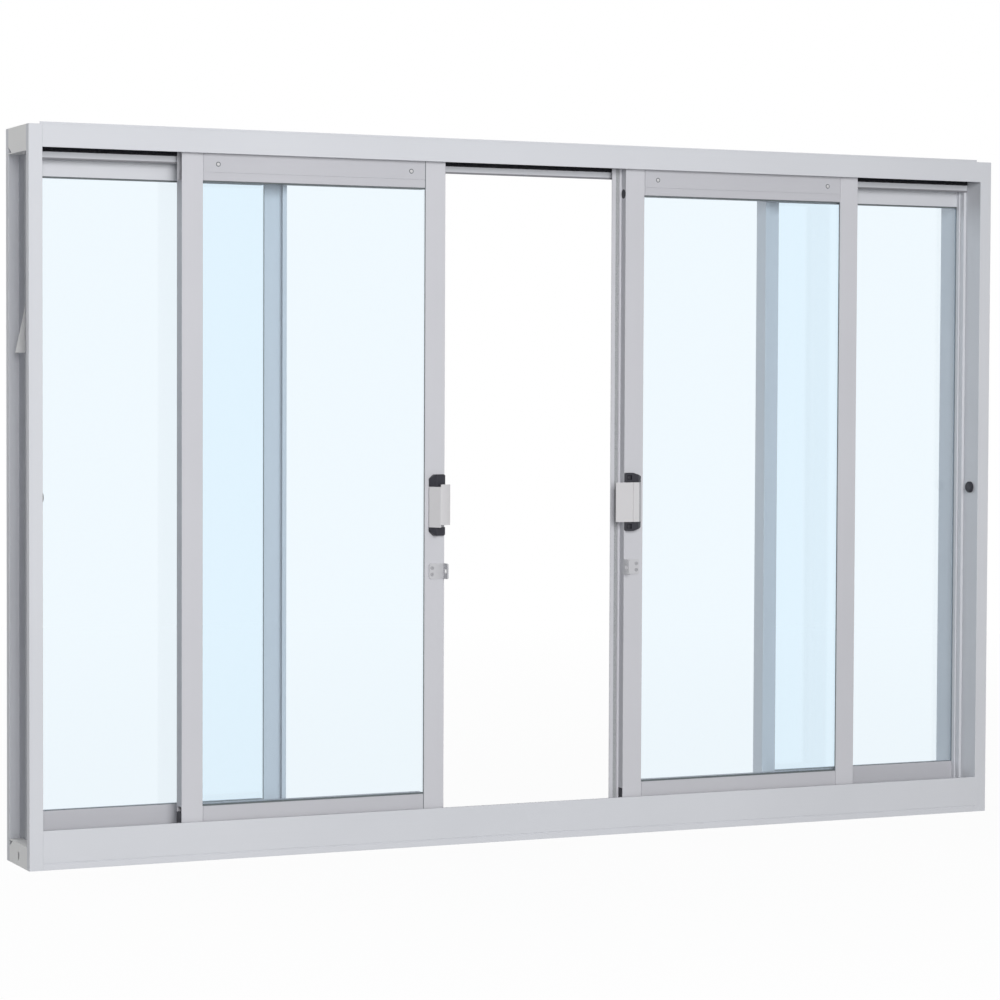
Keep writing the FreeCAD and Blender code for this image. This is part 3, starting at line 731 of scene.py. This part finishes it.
@dataclass
class Surround:
    """Head, sill, jambs and what is fastened to them."""

    finishes: Finishes
    across: Tuple[str, ...] = ("head", "sill")
    upright: Tuple[str, ...] = ("jamb_left", "jamb_right")
    plates: Tuple[str, ...] = ("corner_plates_left", "corner_plates_right", "wall_anchors")
    rib_front: float = -0.0175
    pile_low: float = 0.9662
    pile_wide: float = 0.0078
    pile_reach: float = 0.0048
    bead_drop: float = 0.0022
    bead_thick: float = 0.0022
    bead_grip: float = 0.0003
    bead_shoulder: float = 0.7
    bead_inset: float = 0.3

    def build(self) -> None:
        """Dress the bars, the plates and the bumpers, and add the head's seals; the black pile also
        paints the shade behind the fascia.
        """
        dress(self.across, self.finishes.frame[Grain.ACROSS])
        dress(self.upright, self.finishes.frame[Grain.UPRIGHT])
        dress(self.plates, self.finishes.plate)
        dress(("bumpers",), self.finishes.nylon)
        self.add_head_pile_and_shade()
        self.add_rib_bead()

    def add_head_pile_and_shade(self) -> None:
        """Black pile on the head's middle rib, against the back of the sashes; its near-black also
        paints the dark shade in the hollow behind the fascia.
        """
        low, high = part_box("head")
        start = Vector((low.x, self.rib_front, self.pile_low))
        seal = Brush(self.pile_wide, self.pile_reach)
        pile = seal.build("head_pile_painted_shade", start, ALONG, UP, high.x - low.x)
        pile.seat(Body.FRAME, "seal", self.finishes.pile_black_and_shade)

    def add_rib_bead(self) -> None:
        """Rubber bead pressed on the lower edge of the head's middle rib."""
        low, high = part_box("head")
        front, root = self.rib_front - self.bead_grip, low.z + self.bead_grip
        back, inset = front + self.bead_thick, self.bead_thick * self.bead_inset
        shoulder, foot = low.z - self.bead_drop * self.bead_shoulder, low.z - self.bead_drop
        outline = [
            (front, root), (front, shoulder), (front + inset, foot),
            (back - inset, foot), (back, shoulder), (back, root)]
        bead = Piece("head_rib_bead")
        bead.extrude([Vector((low.x, y, z)) for y, z in outline], ALONG * (high.x - low.x))
        bead.seat(Body.FRAME, "seal", self.finishes.rubber_grey)


@dataclass
class FixedLight:
    """One fixed outer light."""

    side: Side
    finishes: Finishes

    def build(self) -> None:
        """Dress the rails, the stile and the glazing."""
        stem = f"fixed_{self.side.value}_"
        dress((stem + "top_rail",), self.finishes.frame[Grain.ACROSS])
        # The bottom rail wears the darker rail finish as painted shade.
        dress((stem + "bottom_rail",), self.finishes.rail)
        dress((stem + "inner_stile",), self.finishes.frame[Grain.UPRIGHT])
        dress((stem + "glass",), self.finishes.glass)
        dress((stem + "gasket",), self.finishes.rubber)


@dataclass
class Sash:
    """One sliding sash with its runners, latch half and hasp."""

    side: Side
    finishes: Finishes
    plug_inset: float = 0.0525
    plug_height: float = 0.9553
    hasp_plate: float = 14.0 / 16.0
    hasp_screw_inset: float = 0.0046
    hasp_screw_spread: float = 0.0046
    hasp_screw_turn: float = 0.35
    cap_front: float = 0.010
    cap_screw_inset: float = 0.00455
    cap_screw_depth: float = 0.0045
    cap_screw_heights: Tuple[float, float] = (0.44975, 0.521)
    cap_screw_turn: float = 0.5
    stile_back: float = 0.010
    stile_pile_inset: float = 0.0085
    stile_pile_gap: float = 0.02
    stile_pile_wide: float = 0.0070
    stile_pile_reach: float = 0.0048
    strip_pile_start: float = 0.0034
    strip_pile_floor: float = 0.0018
    strip_pile_wide: float = 0.0051
    strip_pile_reach: float = 0.0010
    joint_wide: float = 0.0011
    joint_set: float = 0.0004
    joint_round: float = 0.0001
    joint_deep: float = 0.0005

    @property
    def body(self) -> Body:
        """The body that the sash is."""
        return Body.SASH_LEFT if self.side is Side.LEFT else Body.SASH_RIGHT

    @property
    def stem(self) -> str:
        """Start of the names of its nodes."""
        return f"sash_{self.side.value}_"

    def build(self) -> None:
        """Dress the sash and add its small pieces."""
        # Top and bottom rails wear the darker rail finish: painted shade for their duller sheen
        # across the grain.
        self._dress(self.finishes.rail, "top_rail", "bottom_rail")
        self._dress(self.finishes.sash, "outer_stile", "meeting_stile")
        self._dress(self.finishes.glass, "glass")
        self._dress(self.finishes.rubber, "gasket")
        self._dress(self.finishes.latch, "latch_cover")
        self._dress(self.finishes.hasp, "hasp")
        self._dress(self.finishes.nylon, "rollers", "top_guides", "end_blocks", "latch_caps")
        if self.side is Side.RIGHT:
            self._dress(self.finishes.sash, "overlap_strip")
            self._dress(self.finishes.nylon, "plug")
            self.add_strip_pile()
            self.add_cap_screws()
        else:
            self.add_stile_pile()
            self.add_joint_seals()
        self.add_rail_plugs()
        self.add_hasp_screws()

    def _dress(self, material: bpy.types.Material, *nodes: str) -> None:
        """Give some of the sash's nodes a material."""
        dress([self.stem + node for node in nodes], material)

    def _box(self, node: str) -> Tuple[Vector, Vector]:
        """Low and high corner of one of the sash's nodes."""
        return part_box(self.stem + node)

    def add_rail_plugs(self) -> None:
        """Domed access plugs near the ends of the top rail, each in a dark ring."""
        stiles = [self._box(node) for node in ("outer_stile", "meeting_stile")]
        left = min(low.x for low, _ in stiles) + self.plug_inset
        right = max(high.x for _, high in stiles) - self.plug_inset
        front = self._box("top_rail")[0].y
        dome, ring = RailPlug().dome(), RailPlug().ring()
        domes, rings = Piece(self.stem + "rail_plugs"), Piece(self.stem + "rail_plug_rings")
        for x in (left, right):
            place = facing(Vector((x, front, self.plug_height)), ROOM)
            domes.add(dome, place)
            rings.add(ring, place)
        domes.seat(self.body, "hardware_metal", self.finishes.plug)
        rings.seat(self.body, "seal", self.finishes.rubber)

    def add_hasp_screws(self) -> None:
        """Two cross head screws in the hasp's plate."""
        low, high = self._box("hasp")
        plate = low.y + (high.y - low.y) * self.hasp_plate
        middle = (low.z + high.z) / 2.0
        inset = self.hasp_screw_inset
        x = high.x - inset if self.side is Side.RIGHT else low.x + inset
        head = PanScrew().build()
        screws = Piece(self.stem + "hasp_screws")
        for index, offset in enumerate((-self.hasp_screw_spread, self.hasp_screw_spread)):
            spot = Vector((x, plate, middle + offset))
            screws.add(head, facing(spot, ROOM, self.hasp_screw_turn + index))
        screws.seat(self.body, "hardware_metal", self.finishes.screw)

    def add_cap_screws(self) -> None:
        """Black screws in the recesses of the latch's end caps."""
        low, _ = self._box("meeting_stile")
        x, y = low.x + self.cap_screw_inset, low.y - self.cap_front + self.cap_screw_depth
        head = PanScrew(radius=2.9, height=1.5, recess_long=3.4, recess_wide=0.9).build()
        screws = Piece(self.stem + "cap_screws")
        for index, height in enumerate(self.cap_screw_heights):
            place = facing(Vector((x, y, height)), ROOM, self.cap_screw_turn + index)
            screws.add(head, place)
        screws.seat(self.body, "hardware_metal", self.finishes.screw_black)

    def add_joint_seals(self) -> None:
        """Dark sealant in the grooves where the rails meet the meeting stile; its dark colour also
        paints the shade in these grooves.
        """
        edge = self._box("meeting_stile")[0].x
        far, middle = edge - self.joint_wide, edge - self.joint_wide / 2.0
        seals = Piece(self.stem + "joint_seals")
        for rail in ("top_rail", "bottom_rail"):
            low, high = self._box(rail)
            front = low.y + self.joint_set
            shoulder, back = front + self.joint_round, front + self.joint_deep
            outline = [
                (edge, back), (edge, shoulder), (middle, front), (far, shoulder), (far, back)]
            seals.extrude([Vector((x, y, low.z)) for x, y in outline], UP * (high.z - low.z))
        seals.seat(self.body, "seal", self.finishes.rubber)

    def add_stile_pile(self) -> None:
        """Black pile behind the meeting stile, against the other sash's strip."""
        low, high = self._box("meeting_stile")
        gap = self.stile_pile_gap
        start = Vector((high.x - self.stile_pile_inset, low.y + self.stile_back, low.z + gap))
        seal = Brush(self.stile_pile_wide, self.stile_pile_reach)
        pile = seal.build(self.stem + "pile", start, UP, ALONG, high.z - low.z - 2.0 * gap)
        pile.seat(self.body, "seal", self.finishes.pile_black_and_shade)

    def add_strip_pile(self) -> None:
        """Grey pile in the overlap strip's groove."""
        low, high = self._box("overlap_strip")
        edge = self._box("meeting_stile")[0].x
        start = Vector((edge - self.strip_pile_start, low.y + self.strip_pile_floor, low.z))
        seal = Brush(self.strip_pile_wide, self.strip_pile_reach)
        pile = seal.build(self.stem + "strip_pile", start, UP, -ALONG, high.z - low.z)
        pile.seat(self.body, "seal", self.finishes.pile_grey)


# Studio


@dataclass(frozen=True)
class Lamp:
    """Square soft lamp that isn't seen itself."""

    name: str
    spot: Place
    size: float
    power: float

    def build(self, aim: Vector) -> None:
        """Hang the lamp.

        Args:
            aim: Where it looks.
        """
        data = bpy.data.lights.new(self.name, "AREA")
        data.size = self.size
        data.energy = self.power
        lamp = bpy.data.objects.new(self.name, data)
        lamp.location = self.spot
        lamp.visible_camera = lamp.visible_transmission = lamp.visible_glossy = False
        lamp.rotation_mode = "QUATERNION"
        lamp.rotation_quaternion = (aim - Vector(self.spot)).to_track_quat("-Z", "Y")
        bpy.context.scene.collection.objects.link(lamp)


@dataclass
class Studio:
    """Floor, lamps, surroundings and camera."""

    lens: float = 110.12
    sensor: float = 36.0
    yaw: float = 24.675
    pitch: float = 2.079
    roll: float = 0.238
    eye: Place = (-1.8921, -4.0255, 0.6494)
    aim: Place = (0.0, 0.0, 0.5)
    floor_radius: float = 7.0
    floor_segments: int = 96
    floor_colour: Colour = (0.93, 0.94, 0.95)
    floor_bounce: Colour = (0.24, 0.25, 0.27)
    floor_paint: float = 0.05
    floor_fade: float = 4.0
    ambient: Colour = (0.65, 0.78, 1.0)
    ambient_strength: float = 0.05
    lamps: List[Lamp] = field(default_factory=lambda: [
        Lamp("key", (-1.0, -4.0, 1.4), 2.2, 180.0),
        Lamp("rear", (-2.2, 3.4, 1.9), 3.2, 95.0)])

    def build(self) -> None:
        """Set up the studio."""
        self._floor()
        self._world()
        for lamp in self.lamps:
            lamp.build(Vector(self.aim))
        self._camera()
        bpy.context.scene.view_settings.view_transform = "Standard"

    def _floor(self) -> None:
        """Pale floor that shows white to the eye and keeps the shadow near the window."""
        work = bmesh.new()
        bmesh.ops.create_circle(
            work, cap_ends=True, segments=self.floor_segments, radius=self.floor_radius)
        data = bpy.data.meshes.new("floor")
        work.to_mesh(data)
        work.free()
        floor = bpy.data.objects.new("floor", data)
        bpy.context.scene.collection.objects.link(floor)
        shader = Shader.material("floor_white")
        paint = shader.node("ShaderNodeBsdfDiffuse", {}, {"Color": opaque(self.floor_colour)})
        bounce = shader.node("ShaderNodeBsdfDiffuse", {}, {"Color": opaque(self.floor_bounce)})
        glow = shader.node("ShaderNodeEmission", {}, {"Color": opaque(WHITE), "Strength": 1.0})
        near = shader.node(
            "ShaderNodeTexGradient", {"gradient_type": "SPHERICAL"},
            {"Vector": shader.place([1.0 / self.floor_fade] * 3)}, output=1)
        shown = shader.mix(near * self.floor_paint, glow, paint)
        data.materials.append(shader.finish(shader.mix(shader.looked_at(), bounce, shown)))

    def _world(self) -> None:
        """Soft surroundings that are white where they are seen."""
        world = bpy.data.worlds.new("studio")
        bpy.context.scene.world = world
        sky = Shader(world)
        soft, white = (
            sky.node("ShaderNodeBackground", {}, {"Color": opaque(colour), "Strength": strength})
            for colour, strength in ((self.ambient, self.ambient_strength), (WHITE, 1.0)))
        sky.finish(sky.mix(sky.looked_at(), soft, white))

    def _camera(self) -> None:
        """Camera at the photograph's place and angle."""
        yaw, pitch, roll = (math.radians(angle) for angle in (self.yaw, self.pitch, self.roll))
        level = Vector((math.cos(yaw), -math.sin(yaw), 0.0))
        flat = math.cos(pitch)
        ahead = Vector((math.sin(yaw) * flat, math.cos(yaw) * flat, -math.sin(pitch)))
        above = level.cross(ahead)
        right = level * math.cos(roll) + above * math.sin(roll)
        top = above * math.cos(roll) - level * math.sin(roll)
        data = bpy.data.cameras.new("camera")
        data.lens = self.lens
        data.sensor_width = self.sensor
        camera = bpy.data.objects.new("camera", data)
        turned = Matrix((right, top, -ahead)).transposed().to_4x4()
        camera.matrix_world = Matrix.Translation(Vector(self.eye)) @ turned
        bpy.context.scene.collection.objects.link(camera)
        bpy.context.scene.camera = camera


def main() -> None:
    """Build the studio and dress the window."""
    logging.basicConfig(level=logging.INFO, format="%(name)s: %(message)s")
    finishes = Finishes()
    Studio().build()
    Surround(finishes).build()
    for side in Side:
        FixedLight(side, finishes).build()
        Sash(side, finishes).build()


if __name__ == "__main__":
    main()
